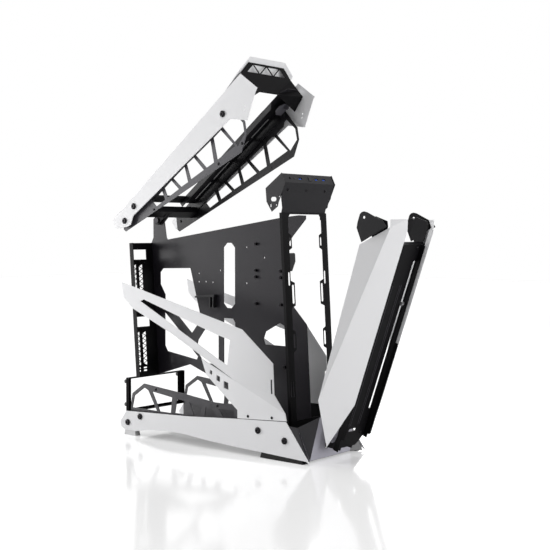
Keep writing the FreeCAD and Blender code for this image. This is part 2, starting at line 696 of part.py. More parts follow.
def make_head():
    half = HEAD_HALF - PANEL - GAP / 3
    behind = PANEL + GAP
    top = size("frame_top")
    low = top - 18
    tabs = [(frame_x(top) - behind, top + 1), (frame_x(low) - behind, low)]
    shell = prism_y(strip_profile(HEAD_PROFILE + tabs, PANEL), -half, half)
    post = size("frame_half") - PANEL - GAP
    inner = size("frame_inner_half")
    for side in (-1, 1):
        corner = [(side * (half + 1), 655), (side * (half + 1), low - 1), (side * post, low - 1),
                  (side * post, 628)]
        shell = shell.cut(prism_x(corner, 195, 240))
    gap = [(-inner, low - 1), (inner, low - 1), (inner, top - 6), (inner - 5, top), (5 - inner, top),
           (-inner, top - 6)]
    shell = shell.cut(prism_x(gap, 195, 240))
    for screw in head_screw_places():
        hole = Part.makeCylinder(size("screw_shank") + GAP, 2 * PANEL, Vector(0, 0, -PANEL * 1.5))
        hole.Placement = screw
        shell = shell.cut(hole)
    for name in USB_NAMES:
        shell = shell.cut(control_box(name, size("usb_width") - 1.5, size("usb_height") - 1.5, -PANEL - 1,
                                      1))
    shell = shell.cut(control_cylinder("audio_jack", size("jack_radius") - 0.6, -PANEL - 1, 1))
    shell = shell.cut(control_cylinder("reset_button", size("reset_radius") + size("button_gap"),
                                       -PANEL - 1, 1))
    opening = size("power_side") + 2 * size("button_gap")
    shell = shell.cut(control_box("power_button", opening, opening, -PANEL - 1, 1))
    feature("control_head", shell.removeSplitter())
    holes = [((209, 634.5), 2.0), ((218, 655), 1.8)]
    slot = [slot_loop(200, 649, 18, 11), slot_loop(191, 633, 4, 8)]
    outer = TRUSS_RIGHT + " - sizes.truss_sheet - sizes.head_clearance"
    flat_plate("head_side_left", HEAD_SIDE, slot, holes, "panel_sheet", "-(%s) + sizes.panel_sheet" % outer)
    flat_plate("head_side_right", HEAD_SIDE, slot, holes, "panel_sheet", outer)


def make_controls():
    """Ports behind the face, and the two push buttons that travel into it."""
    shells = []
    tongues = []
    depth = size("port_depth")
    for name in USB_NAMES:
        outer = control_box(name, size("usb_width"), size("usb_height"), -depth, -PANEL)
        inner = control_box(name, size("usb_width") - 1.5, size("usb_height") - 1.5, -depth + 1, 0)
        shells.append(outer.cut(inner))
        tongues.append(control_box(name, size("usb_width") - 4, 2.0, -depth + 1, -PANEL))
    feature("usb_shells", Part.makeCompound(shells))
    feature("usb_tongues", Part.makeCompound(tongues))
    jack = control_cylinder("audio_jack", size("jack_radius"), -depth, -PANEL)
    feature("audio_jack", jack.cut(control_cylinder("audio_jack", 1.8, -depth + 2, 0)))
    board = Part.makeBox(150, 14, 1.6, Vector(-84, -7, -depth - 1.6))
    board.Placement = face_frame().multiply(board.Placement)
    feature("control_board", board)
    travel = size("power_travel")
    power = control_box("power_button", size("power_side"), size("power_side"), -PANEL - 1, 1.2)
    stem = control_box("power_button", 5, 5, -depth + travel + 0.6, -PANEL - 1)
    feature("power_button", power.fuse(stem).removeSplitter())
    reset = control_cylinder("reset_button", size("reset_radius"), -PANEL - 1, 0.8)
    stem = control_cylinder("reset_button", 1.5, -depth + size("reset_travel") + 0.6, -PANEL - 1)
    feature("reset_button", reset.fuse(stem).removeSplitter())


def head_screw_places():
    """Placements on the band under the control face, with +Z out of the band."""
    high, low = HEAD_PROFILE[2], HEAD_PROFILE[3]
    run = Vector(high[0] - low[0], 0, high[1] - low[1]).normalize()
    out = Vector(run.z, 0, -run.x)
    turn = FreeCAD.Rotation(Vector(0, 0, 1), out)
    return [FreeCAD.Placement(Vector(low[0], across, low[1]) + run * 5.5, turn) for across in (-83, -8, 69)]


def make_head_screws():
    screws = []
    for place in head_screw_places():
        screw = button_head(size("screw_radius"), size("screw_height"), 1.2, size("screw_shank"), PANEL + 2)
        screw.Placement = place
        screws.append(screw)
    feature("head_screws", Part.makeCompound(screws))


# Lid, drawn about its pin in (u, w) and then swung open

LID_PLATE = [(-61, 43), (-61, 17), (-24, -5), (-8, -9), (14, 4), (450, -23), (491, -64), (552, -27),
             (565, -21),
             (545, 44), (-8, 44), (-36, 48)]
LID_BOLTS = [(438, 4), (33, 23), (-21, 14)]
LID_TRUSS = [(-48, 4), (-45, -5), (421, -108), (462, -83), (477, -54), (470, 36), (-30, 36)]
LID_TRUSS_WINDOWS = [
    [(410, -12), (462, -12), (470, -52), (457, -79), (421, -88)],
    [(369, -16), (401, -17), (414, -82), (345, -70)],
    [(293, -11), (357, -15), (332, -68), (303, -62)],
    [(253, -8), (284, -11), (292, -60), (240, -50)],
    [(191, -6), (243, -8), (228, -49), (200, -43)],
    [(150, -3), (182, -6), (190, -42), (143, -34)],
    [(90, 2), (138, -2), (132, -32), (94, -26)],
]
LID_TRUSS_SCREWS = [(436, -91.5), (342, -81), (81, -26)]


def lid_piece(label, shape):
    shape.Placement = LID.multiply(shape.Placement)
    return feature(label, shape)


def lid_plate(label, outline, windows, circles, sheet_alias, outer_y):
    body = flat_plate(label, outline, windows, circles, sheet_alias, outer_y)
    body.setExpression("Placement.Base.x", "sizes.lid_pin_x")
    body.setExpression("Placement.Base.z", "sizes.lid_pin_z")
    body.setExpression("Placement.Rotation.Angle", "-sizes.lid_open * 1deg")
    body.Placement.Rotation.Axis = Vector(0, 1, 0)
    return body


def make_lid_sides():
    bolt_holes = [(place, size("bolt_shank") + GAP) for place in LID_BOLTS]
    marks = [((499, -37), 2.0), ((507, -30), 2.0)]
    lid_plate("lid_plate_left", LID_PLATE, [], bolt_holes + marks, "panel_sheet",
              "-sizes.side_half + sizes.panel_sheet")
    lid_plate("lid_plate_right", LID_PLATE, [], bolt_holes + marks, "panel_sheet", "sizes.side_half")
    screw_holes = [(place, size("screw_shank")) for place in LID_TRUSS_SCREWS]
    lid_plate("lid_truss_left", LID_TRUSS, LID_TRUSS_WINDOWS, bolt_holes + screw_holes, "truss_sheet",
              TRUSS_LEFT)
    lid_plate("lid_truss_right", LID_TRUSS, LID_TRUSS_WINDOWS, bolt_holes + screw_holes, "truss_sheet",
              TRUSS_RIGHT)


def make_lid_cap():
    """The black nose of the lid: a vented lip, a face under it and two cheeks."""
    cheek = TRUSS_HALF + 5
    points = {
        "lip_left": Vector(557, -71, 80), "lip_right": Vector(557, 71, 80),
        "fold_left": Vector(540, -99, 57), "fold_right": Vector(540, 99, 57),
        "chin_left": Vector(517, -35, 18), "chin_right": Vector(517, 35, 18),
        "cheek_left": Vector(538, -cheek, 2), "cheek_right": Vector(538, cheek, 2),
        "jaw_left": Vector(492, -cheek, -12), "jaw_right": Vector(492, cheek, -12),
    }
    facets = [
        ("fold_left", "fold_right", "lip_right", "lip_left"),
        ("chin_left", "chin_right", "fold_right", "fold_left"),
        ("chin_left", "fold_left", "cheek_left"), ("chin_right", "cheek_right", "fold_right"),
        ("chin_left", "cheek_left", "jaw_left"), ("chin_right", "jaw_right", "cheek_right"),
    ]
    cap = folded_sheet(points, facets, COVER)
    up = (points["lip_left"] - points["fold_left"])
    slope = Vector(up.x, 0, up.z).normalize()
    out = Vector(slope.z, 0, -slope.x)
    base = Vector(540, 0, 57) + slope * 4
    top = Vector(557, 0, 80) - slope * 5
    pitch = 27.0
    for index in range(-2, 3):
        flip = index % 2
        wide, tip = (top, base) if flip else (base, top)
        corners = [Vector(wide.x, index * pitch - 22, wide.z), Vector(wide.x, index * pitch + 22, wide.z),
                   Vector(tip.x, index * pitch, tip.z)]
        corners = [corner - out * 6 for corner in corners]
        vent = Part.Face(Part.makePolygon(corners + corners[:1])).extrude(out * 12)
        cap = cap.cut(vent)
    lid_piece("lid_cap", cap)


def make_lid_crown():
    """The white crown over the nose, folded over the cap and running back along the top edges."""
    half = PAN_HALF - GAP
    points = {
        "brow_left": Vector(569, -70, 89), "brow_right": Vector(569, 70, 89),
        "temple_left": Vector(549, -104, 64), "temple_right": Vector(549, 104, 64),
        "back_left": Vector(452, -half, 43), "back_right": Vector(452, half, 43),
        "ridge_left": Vector(470, -70, 52), "ridge_right": Vector(470, 70, 52),
    }
    facets = [
        ("brow_left", "brow_right", "ridge_right", "ridge_left"),
        ("brow_left", "ridge_left", "temple_left"), ("brow_right", "temple_right", "ridge_right"),
        ("temple_left", "ridge_left", "back_left"), ("temple_right", "back_right", "ridge_right"),
    ]
    lid_piece("lid_crown", folded_sheet(points, facets, COVER))


def make_lid_bracket():
    """The radiator bracket under the lid's top: a narrow rail and a wide one, joined by a bar at the rear."""
    half = TRUSS_HALF - TRUSS
    level = size("lid_rail_level")
    inner = size("lid_rail_inner")
    narrow = half - size("lid_narrow_rail")
    start_u, length = 54.0, 396.0
    plate = Part.makeBox(30, 2 * half, PANEL, Vector(start_u, -half, level))
    plate = plate.fuse(Part.makeBox(length, half - narrow, PANEL, Vector(start_u, -half, level)))
    plate = plate.fuse(Part.makeBox(length, half - inner, PANEL, Vector(start_u, inner, level)))
    for row in (-(half + narrow) / 2, size("fan_hole_half") + 4, half - 12):
        for start in range(62, 360, 90):
            loop = slot_loop(row, start + 50, size("fan_slot_width"), 78)
            corners = [Vector(second, first, level - 1) for first, second in loop]
            plate = plate.cut(Part.Face(Part.makePolygon(corners + corners[:1])).extrude(Vector(0, 0,
                                                                                                PANEL + 2)))
    for y in (-narrow - PANEL, inner):
        plate = plate.fuse(Part.makeBox(length, PANEL, 14, Vector(start_u, y, level - 14)))
    for y in (-half, half - PANEL):
        plate = plate.fuse(Part.makeBox(length, PANEL, 24, Vector(start_u, y, level - 24)))
    lid_piece("lid_radiator_bracket", plate.removeSplitter())


def make_lid_hinge():
    """A cross channel between the lid's trusses with two knuckles that straddle the tray's post."""
    half = TRUSS_HALF - TRUSS
    knuckle = size("lid_knuckle")
    channel = Part.makeBox(26, 2 * half, PANEL, Vector(24, -half, -8))
    channel = channel.fuse(Part.makeBox(PANEL, 2 * half, 20, Vector(48, -half, -8)))
    near = -size("tray_side") - PANEL - size("lid_knuckle_gap")
    far = -size("tray_side") + size("lid_knuckle_gap")
    bore = size("lid_pin_radius") + size("lid_pin_clearance")
    for y_from, y_to in ((near, near - 8), (far, far + 8)):
        ear = cylinder_y(0, 0, knuckle, y_from, y_to)
        ear = ear.fuse(prism_y([(0, -knuckle), (50, -8), (50, 8), (0, knuckle)], y_from, y_to))
        ear = ear.cut(cylinder_y(0, 0, bore, y_from - 20, y_to + 20))
        channel = channel.fuse(ear)
    lid_piece("lid_hinge_bracket", channel.removeSplitter())
    pin = cylinder_y(size("lid_pin_x"), size("lid_pin_z"), size("lid_pin_radius"), near - 9.5, far + 9.5)
    head = cylinder_y(size("lid_pin_x"), size("lid_pin_z"), size("lid_pin_radius") + 3, near - 12, near - 9)
    tail = cylinder_y(size("lid_pin_x"), size("lid_pin_z"), size("lid_pin_radius") + 2, far + 9, far + 11)
    feature("lid_hinge_pin", pin.fuse(head).fuse(tail).removeSplitter())


def make_lid_fasteners():
    bolt = button_head(size("bolt_radius"), size("bolt_height"), size("bolt_hex"), size("bolt_shank"), 12.8)
    screw = button_head(size("screw_radius"), size("screw_height"), 1.2, size("screw_shank") - 0.1,
                        TRUSS + 1)
    bolts, screws, spacers = [], [], []
    for side in (-1, 1):
        outer, truss = side * size("side_half"), side * TRUSS_HALF
        for u, w in LID_BOLTS:
            bolts.append(along_y(bolt, u, outer, w, side))
            spacer = cylinder_y(u, w, size("spacer_radius"), truss, outer - side * PANEL)
            spacers.append(spacer.cut(cylinder_y(u, w, size("bolt_shank") + GAP, truss - side,
                                                 outer + side)))
        for u, w in LID_TRUSS_SCREWS:
            screws.append(along_y(screw, u, truss, w, side))
    lid_piece("lid_bolts", Part.makeCompound(bolts))
    lid_piece("lid_spacers", Part.makeCompound(spacers))
    lid_piece("lid_screws", Part.makeCompound(screws))


# Door, drawn about its pin in (p, q) and then leaned forward

EAR = [(-26, 574), (-26, 594), (-23, 600), (-17, 604), (-8, 605), (40, 600), (54, 591), (0, 534), (-24, 561)]
EAR_HOLE = (-12, 591)
EAR_STEP = 19.0
DOOR_SCREWS = [(-40, 48), (40, 48), (-44, 540), (44, 540)]


def door_piece(label, shape):
    shape.Placement = DOOR.multiply(shape.Placement)
    return feature(label, shape)


def make_door_shells():
    """The white half shells of the door, each folded from one sheet into a long blade."""
    edge, inner = size("door_edge"), -size("shell_half")
    points = {
        "blade_top": Vector(55, -91, 590), "blade_low": Vector(24, -130, 141),
        "rear_top": Vector(-1, -110, 528),
        "edge_top": Vector(edge, inner, 590), "edge_low": Vector(edge, inner, 146),
        "tip": Vector(57.5, -87.4, 26),
        "cap_top": Vector(73, inner, 616), "cap_rear": Vector(45, -84, 606),
        "hem_top": Vector(edge - 12, inner, 590), "hem_low": Vector(edge - 12, inner, 146),
    }
    facets = [
        ("rear_top", "blade_low", "blade_top"),
        ("blade_top", "blade_low", "tip", "edge_low", "edge_top"),
        ("blade_top", "edge_top", "cap_top", "cap_rear"),
        ("edge_top", "edge_low", "hem_low", "hem_top"),
    ]
    shell = folded_sheet(points, facets, COVER)
    mirrored = mirror_y(shell)
    door_piece("door_shell_left", shell)
    door_piece("door_shell_right", mirrored)


def make_door_channel():
    """The black channel between the shells: a web with slits, a flange along each edge, a bar on top."""
    half = size("shell_half") - GAP
    web, edge = size("door_web"), size("door_flange_edge")
    section = [(web, -half), (web, half), (edge, half), (edge, half - PANEL), (web + PANEL, half - PANEL),
               (web + PANEL, -half + PANEL), (edge, -half + PANEL), (edge, -half)]
    corners = [Vector(p, y, 14) for p, y in section]
    channel = Part.Face(Part.makePolygon(corners + corners[:1])).extrude(Vector(0, 0, 534))
    slots = [(size("fan_hole_half") - 4, 310, size("door_slot_width"), 394)]
    for side in (-1, 1):
        for y, q, width, length in slots:
            channel = channel.cut(prism_x([(side * a, b) for a, b in slot_loop(y, q, width, length)],
                                          web - 2, web + 4))
    window = [(-52, 466), (-52, 522), (-24, 522), (-20, 510), (-20, 466)]
    for loop in (slot_loop(0, 60, 30, 8), window, slot_loop(-36, 455, 32, 6)):
        channel = channel.cut(prism_x(loop, web - 2, web + 4))
    notch = [(half + 1, 13), (half + 1, 40), (34, 13)]
    channel = channel.cut(prism_x(notch, web - 1, edge + 1))
    for y, q in DOOR_SCREWS:
        hole = Part.makeCylinder(size("screw_shank") + GAP, PANEL + 2, Vector(web - 1, y, q),
                                 Vector(1, 0, 0))
        channel = channel.cut(hole)
    bar_half = TRUSS_HALF - EAR_STEP - PANEL
    bar = Part.makeBox(12, 2 * bar_half, 12, Vector(web - 18, -bar_half, 536))
    bar = bar.cut(Part.makeBox(10, 2 * bar_half - 2 * PANEL, 8, Vector(web - 18, -bar_half + PANEL, 538)))
    link = Part.makeBox(6, 2 * half, PANEL, Vector(web - 6, -half, 546))
    door_piece("door_channel", channel.fuse(link).fuse(bar).removeSplitter())


def make_door_ears():
    """The ears beside the shells, each folded inwards to a bracket on the channel's bar."""
    for label, side in (("door_ear_left", -1), ("door_ear_right", 1)):
        outer = side * TRUSS_HALF
        ear = prism_y(EAR, outer, outer - side * PANEL)
        ear = ear.cut(cylinder_y(EAR_HOLE[0], EAR_HOLE[1], 3.2, outer + side, outer - side * (PANEL + 1)))
        inner = outer - side * EAR_STEP
        bracket = [(5, 560), (32, 525), (46, 525), (46, 588), (40, 600), (5, 600)]
        ear = ear.fuse(prism_y(bracket, inner, inner - side * PANEL))
        flange = [(-10, 590), (36, 590), (36, 592), (-10, 592)]
        ear = ear.fuse(prism_y(flange, outer - side * PANEL, inner - side * PANEL))
        door_piece(label, ear.removeSplitter())


def make_door_hinge():
    """Two arms that reach from the channel's foot through the nose to the door pin, and the pin's lugs."""
    web = size("door_web")
    bore = size("door_pin_radius") + size("door_pin_clearance")
    pin_x, pin_z = size("door_pin_x"), size("door_pin_z")
    arms = []
    lugs = []
    for side in (-1, 1):
        near = side * size("door_arm_side")
        far = near - side * size("door_arm_sheet")
        arm = prism_y([(0, -8), (web, 6), (web, 34), (web - 10, 34), (30, 12), (0, 8)], near, far)
        arm = arm.fuse(cylinder_y(0, 0, 8, near, far))
        arms.append(arm.cut(cylinder_y(0, 0, bore, near + side, far - side)))
        for start, end in ((near + side * 0.4, near + side * 4.4), (far - side * 0.4, far - side * 4.4)):
            floor = size("pan_height") + PANEL
            lug = prism_y([(pin_x - 37, floor), (pin_x - 30, floor), (pin_x + 3, pin_z - 8),
                           (pin_x + 3, pin_z + 7),
                           (pin_x - 12, pin_z + 8)], start, end)
            lug = lug.fuse(cylinder_y(pin_x, pin_z, 8, start, end))
            lugs.append(lug.cut(cylinder_y(pin_x, pin_z, bore, start - side * 9, end + side * 9)))
    door_piece("door_hinge_arms", Part.makeCompound(arms))
    feature("door_hinge_lugs", Part.makeCompound(lugs))
    reach = size("door_arm_side") + 8
    feature("door_hinge_pin", cylinder_y(pin_x, pin_z, size("door_pin_radius"), -reach, reach))


def make_door_screws():
    screws = []
    for y, q in DOOR_SCREWS:
        screw = button_head(size("screw_radius"), size("screw_height"), 1.2, size("screw_shank"), PANEL)
        level = size("door_web") + PANEL
        screw.Placement = FreeCAD.Placement(Vector(level, y, q),
                                            FreeCAD.Rotation(Vector(0, 0, 1), Vector(1, 0, 0)))
        screws.append(screw)
    door_piece("door_screws", Part.makeCompound(screws))


make_base_sides()
make_base_pan()
make_nose()
make_feet()
make_base_trusses()
make_psu_frame()
make_base_bolts()
make_tray()
make_bosses()
make_pump_hanger()
make_rear_panel()
make_slot_covers()
make_slot_screws()
make_front_frame()
make_cable_clip()
make_shrouds()
make_skirt_screws()
make_head()
make_controls()
make_head_screws()
make_lid_sides()
make_lid_cap()
make_lid_crown()
make_lid_bracket()
make_lid_hinge()
make_lid_fasteners()
make_door_shells()
make_door_channel()
make_door_ears()
make_door_hinge()
make_door_screws()

document.recompute()
for item in document.Objects:
    if "Invalid" in item.State or "Error" in item.State:
        raise RuntimeError("failed: " + item.Label)
for node in NODES:
    if node.Shape.isNull() or not node.Shape.isValid():
        raise RuntimeError("bad shape: " + node.Label)

os.makedirs("parts", exist_ok=True)
for node in NODES:
    node.Shape.exportStep("parts/%s.step" % node.Label)
    print(node.Label, round(node.Shape.Volume / 1000, 1), len(node.Shape.Solids))
print(len(NODES), "nodes")
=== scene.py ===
import json
import math

import bmesh
import bpy
from mathutils import Matrix, Vector


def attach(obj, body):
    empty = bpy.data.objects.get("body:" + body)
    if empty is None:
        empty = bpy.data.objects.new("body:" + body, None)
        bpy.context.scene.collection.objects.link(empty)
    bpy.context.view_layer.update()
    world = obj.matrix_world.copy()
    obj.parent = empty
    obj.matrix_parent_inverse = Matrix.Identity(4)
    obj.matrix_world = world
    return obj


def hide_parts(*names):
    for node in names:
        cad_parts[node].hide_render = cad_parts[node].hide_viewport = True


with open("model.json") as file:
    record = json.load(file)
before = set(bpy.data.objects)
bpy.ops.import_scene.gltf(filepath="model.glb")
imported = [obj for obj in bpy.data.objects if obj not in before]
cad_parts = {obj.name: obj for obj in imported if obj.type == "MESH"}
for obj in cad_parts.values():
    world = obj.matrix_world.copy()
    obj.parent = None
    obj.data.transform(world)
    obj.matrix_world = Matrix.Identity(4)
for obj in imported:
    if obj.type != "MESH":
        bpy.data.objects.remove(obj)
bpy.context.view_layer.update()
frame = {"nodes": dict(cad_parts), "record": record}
nodes = frame["nodes"]
record = frame["record"]
bodyOf = {part: body for body, parts in record["behaviour"]["bodies"].items() for part in parts}
slotOf = {row["node"]: row["material_slot"] for row in record["subparts"]}
# the photograph shows the rear feet as light as the side plates
slotOf["rear_feet"] = slotOf["side_plate_left"]
stage = bpy.context.scene.collection
print("frame loaded:", len(nodes), "nodes")

# the camera, matched to the photograph
camera = {"place": (1.9327, -2.1768, 0.5678), "pitch": 87.72, "heading": 39.8, "lens": 71.03,
          "far": 50}

cameraData = bpy.data.cameras.new("camera")
cameraData.lens = camera["lens"]
cameraData.clip_end = camera["far"]
cameraObject = bpy.data.objects.new("camera", cameraData)
cameraObject.location = camera["place"]
cameraObject.rotation_euler = (math.radians(camera["pitch"]), 0, math.radians(camera["heading"]))
stage.objects.link(cameraObject)
bpy.context.scene.camera = cameraObject
bpy.context.scene.view_settings.view_transform = "Standard"


# node maths written as expressions
class Sock:
    def __init__(self, paint, socket):
        self.paint = paint
        self.socket = socket

    def math(self, operation, other):
        return self.paint.node("ShaderNodeMath", {"operation": operation}, [self, other])

    def __add__(self, other):
        return self.math("ADD", other)

    def __radd__(self, other):
        return self.math("ADD", other)

    def __sub__(self, other):
        return self.math("SUBTRACT", other)

    def __mul__(self, other):
        return self.math("MULTIPLY", other)

    def __gt__(self, other):
        return self.math("GREATER_THAN", other)


# the sockets of a Mix node that mixes colours
mixSocket = {"factor": 0, "first": 6, "second": 7, "result": 2}


class Paint:
    def __init__(self, name):
        self.material = bpy.data.materials.new(name)
        self.material.use_nodes = True
        self.tree = self.material.node_tree
        self.tree.nodes.clear()
        self.output = self.tree.nodes.new("ShaderNodeOutputMaterial")

    def node(self, kind, settings=None, values=(), output=0):
        made = self.tree.nodes.new(kind)
        for key, value in (settings or {}).items():
            setattr(made, key, value)
        pairs = values.items() if isinstance(values, dict) else enumerate(values)
        for key, value in pairs:
            self.plug(made.inputs[key], value)
        return Sock(self, made.outputs[output])

    def plug(self, socket, value):
        if isinstance(value, Sock):
            self.tree.links.new(value.socket, socket)
        else:
            socket.default_value = value

    def place(self):
        return self.node("ShaderNodeTexCoord", output="Object")

    def facing(self, axis):
        normal = self.node("ShaderNodeTexCoord", output="Normal")
        return self.node("ShaderNodeSeparateXYZ", None, {"Vector": normal}, output=axis)

    # a grain is a noise's scale, detail and roughness
    def noise(self, grain, place):
        scale, detail, rough = grain
        wanted = {"Vector": place, "Scale": scale, "Detail": detail, "Roughness": rough}
        return self.node("ShaderNodeTexNoise", None, wanted, output="Fac")

    def bump(self, height, strength, distance):
        wanted = {"Strength": strength, "Distance": distance, "Height": height}
        return self.node("ShaderNodeBump", None, wanted)

    def mix(self, factor, first, second):
        wanted = {mixSocket["factor"]: factor, mixSocket["first"]: first, mixSocket["second"]: second}
        return self.node("ShaderNodeMix", {"data_type": "RGBA"}, wanted, output=mixSocket["result"])

    def skin(self, values):
        shader = self.node("ShaderNodeBsdfPrincipled", None, values)
        self.plug(self.output.inputs["Surface"], shader)
        return self.material


def shade(colour):
    return (*colour, 1) if isinstance(colour, tuple) else (colour, colour, colour, 1)


def tinted(colour, share):
    return shade(tuple(part * share for part in colour))


noiseMiddle = 0.5


# a value that a noise moves up and down by an amount
def sway(value, noise, amount):
    return value + (noise - noiseMiddle) * amount


# powder coat: orange peel in the skin, a soft cloud of tone, and handling marks in the gloss
powder = {"cloud": (6.0, 3.0, 0.55), "speck": (2600.0, 2.0, 0.6), "peel": (850.0, 3.0, 0.6),
          "smear": (22.0, 5.0, 0.65), "speckLimit": 0.72, "cloudGloss": 0.06, "speckGloss": 0.05,
          "peelShare": 0.7, "speckShare": 0.3, "depth": 0.0004}


def powderCoat(name, look):
    paint = Paint(name)
    place = paint.place()
    cloud = paint.noise(powder["cloud"], place)
    speck = paint.noise(powder["speck"], place)
    peel = paint.noise(powder["peel"], place)
    smear = paint.noise(powder["smear"], place)
    base = paint.mix(cloud, shade(look["colour"]), shade(look["tone"]))
    flecks = (speck > powder["speckLimit"]) * look["speck"]
    rough = sway(look["rough"], cloud, powder["cloudGloss"])
    rough = sway(sway(rough, speck, powder["speckGloss"]), smear, look["smear"])
    height = peel * powder["peelShare"] + speck * powder["speckShare"]
    return paint.skin({"Base Color": paint.mix(flecks, base, shade(look["fleck"])), "Roughness": rough,
                       "Specular IOR Level": look["specular"],
                       "Normal": paint.bump(height, look["peel"], powder["depth"])})


# the nose's coat: its own black stays on the corner facets, and the wide front face, picked by which
# way it faces, is painted light grey, a painted reflection of the bright studio
noseGrain = {"cloud": (9.0, 3.0, 0.55), "peel": (850.0, 3.0, 0.6), "gloss": 0.08, "depth": 0.0004}


def noseCoatPaintedReflection(name, look):
    paint = Paint(name)
    place = paint.place()
    cloud = paint.noise(noseGrain["cloud"], place)
    peel = paint.noise(noseGrain["peel"], place)
    front = paint.mix(cloud, shade(look["front"]), shade(look["tone"]))
    # how far each facet faces forward chooses between the black and the painted reflection
    turned = paint.node("ShaderNodeMapRange", None, {
        "Value": paint.facing("X"), "From Min": look["turned"][0], "From Max": look["turned"][1]})
    return paint.skin({"Base Color": paint.mix(turned, shade(look["corner"]), front),
                       "Roughness": sway(look["rough"], cloud, noseGrain["gloss"]),
                       "Specular IOR Level": look["specular"],
                       "Normal": paint.bump(peel, look["peel"], noseGrain["depth"])})


plastic = {"grain": (1800.0, 3.0, 0.6), "cloud": (18.0, 2.0, 0.5), "tone": 1.25, "gloss": 0.12,
           "depth": 0.0003}


def mouldedPlastic(name, look):
    paint = Paint(name)
    place = paint.place()
    grain = paint.noise(plastic["grain"], place)
    cloud = paint.noise(plastic["cloud"], place)
    base = paint.mix(cloud, shade(look["colour"]), tinted(look["colour"], plastic["tone"]))
    return paint.skin({"Base Color": base, "Roughness": sway(look["rough"], grain, plastic["gloss"]),
                       "Specular IOR Level": look["specular"],
                       "Normal": paint.bump(grain, look["peel"], plastic["depth"])})


# turned or rolled steel: fine lines along the piece, with blotches of oxide
steel = {"drawn": (300.0, 2400.0, 2400.0), "grain": (1.0, 4.0, 0.6), "cloud": (60.0, 2.0, 0.5),
         "tone": 0.75, "gloss": 0.2, "bump": 0.15, "depth": 0.0002}


def turnedSteel(name, look):
    paint = Paint(name)
    place = paint.place()
    drawn = paint.node("ShaderNodeMapping", None, {"Vector": place, "Scale": steel["drawn"]})
    grain = paint.noise(steel["grain"], drawn)
    cloud = paint.noise(steel["cloud"], place)
    base = paint.mix(cloud, shade(look["colour"]), tinted(look["colour"], steel["tone"]))
    return paint.skin({"Base Color": base, "Metallic": 1.0,
                       "Roughness": sway(look["rough"], grain, steel["gloss"]),
                       "Normal": paint.bump(grain, steel["bump"], steel["depth"])})


plainLook = {"speck": 0.5, "smear": 0.06, "specular": 0.3, "peel": 0.22, "rough": 0.42}
# the blacks are all one black paint: the plain satin black, and copies of it made lighter where a
# piece is lit (painted light) or darker where it lies in shade (painted shade)
coatLooks = {
    "whiteCoat": {**plainLook, "colour": (0.80, 0.80, 0.81), "tone": (0.78, 0.78, 0.795),
                  "fleck": (0.7, 0.7, 0.71), "rough": 0.40, "peel": 0.12, "speck": 0.35},
    "footWhite": {**plainLook, "colour": (0.64, 0.64, 0.64), "tone": (0.60, 0.60, 0.61),
                  "fleck": (0.5, 0.5, 0.5), "rough": 0.5},
    # the black paint made far darker: painted shadow on the power supply's frame, which lies in shade
    "shadowBlack": {**plainLook, "colour": (0.0020, 0.0019, 0.0022), "tone": (0.0028, 0.0027, 0.0031),
                    "fleck": (0.012, 0.012, 0.0125), "specular": 0.03, "rough": 0.5},
    "satinBlack": {**plainLook, "colour": (0.0095, 0.009, 0.011), "tone": (0.012, 0.0115, 0.0135),
                   "fleck": (0.03, 0.03, 0.032), "specular": 0.22},
    # the black paint made a little lighter: painted light on the motherboard tray
    "litTrayBlack": {**plainLook, "colour": (0.0135, 0.0118, 0.0158), "tone": (0.0165, 0.0147, 0.0188),
                  "fleck": (0.05, 0.05, 0.052), "specular": 0.19, "rough": 0.38},
    # the black paint made lighter: painted light on the base trusses
    "litTrussBlack": {**plainLook, "colour": (0.028, 0.0265, 0.0315), "tone": (0.024, 0.023, 0.027),
                   "fleck": (0.06, 0.06, 0.063), "rough": 0.38},
    # the black paint made lightest: painted light on the near lid truss and the latch, and a painted
    # highlight on the door's ridges
    "litBlack": {**plainLook, "colour": (0.052, 0.050, 0.059), "tone": (0.045, 0.043, 0.051),
                  "fleck": (0.05, 0.05, 0.056), "rough": 0.38},
    # the black paint made darker: painted shade on the door's ears, the far lid truss and the radiator
    # bracket
    "shadedBlack": {**plainLook, "colour": (0.0062, 0.0059, 0.0072), "tone": (0.0080, 0.0077, 0.0092),
                 "fleck": (0.03, 0.03, 0.032), "specular": 0.18, "rough": 0.4},
    # the black paint made darker still: painted shade on the door's channel, rear panel, slot covers,
    # front frame, lid cap, hinge bracket and base pan
    "deepShadeBlack": {**plainLook, "colour": (0.0030, 0.0028, 0.0034), "tone": (0.0042, 0.0040, 0.0047),
                  "fleck": (0.02, 0.02, 0.021), "specular": 0.08, "rough": 0.46},
}
# front and tone are the painted reflection's light grey; corner is the nose's own black
noseLook = {"corner": (0.022, 0.021, 0.025), "front": (0.42, 0.411, 0.468),
            "tone": (0.385, 0.377, 0.427), "turned": (0.90, 0.97), "rough": 0.3, "specular": 0.4,
            "peel": 0.12}
plasticLooks = {
    "footRubber": {"colour": (0.014, 0.014, 0.014), "rough": 0.75, "peel": 0.5, "specular": 0.2},
    "blackPlastic": {"colour": (0.012, 0.012, 0.013), "rough": 0.4, "peel": 0.3, "specular": 0.3},
    "bluePlastic": {"colour": (0.03, 0.12, 0.65), "rough": 0.35, "peel": 0.1, "specular": 0.4},
}
steelLooks = {
    "plainSteel": {"colour": (0.62, 0.62, 0.63), "rough": 0.32},
    "blackenedSteel": {"colour": (0.022, 0.021, 0.023), "rough": 0.34},
}
coats = {name: powderCoat(name, look) for name, look in coatLooks.items()}
coats["noseCoatPaintedReflection"] = noseCoatPaintedReflection("noseCoatPaintedReflection", noseLook)
coats.update({name: mouldedPlastic(name, look) for name, look in plasticLooks.items()})
coats.update({name: turnedSteel(name, look) for name, look in steelLooks.items()})

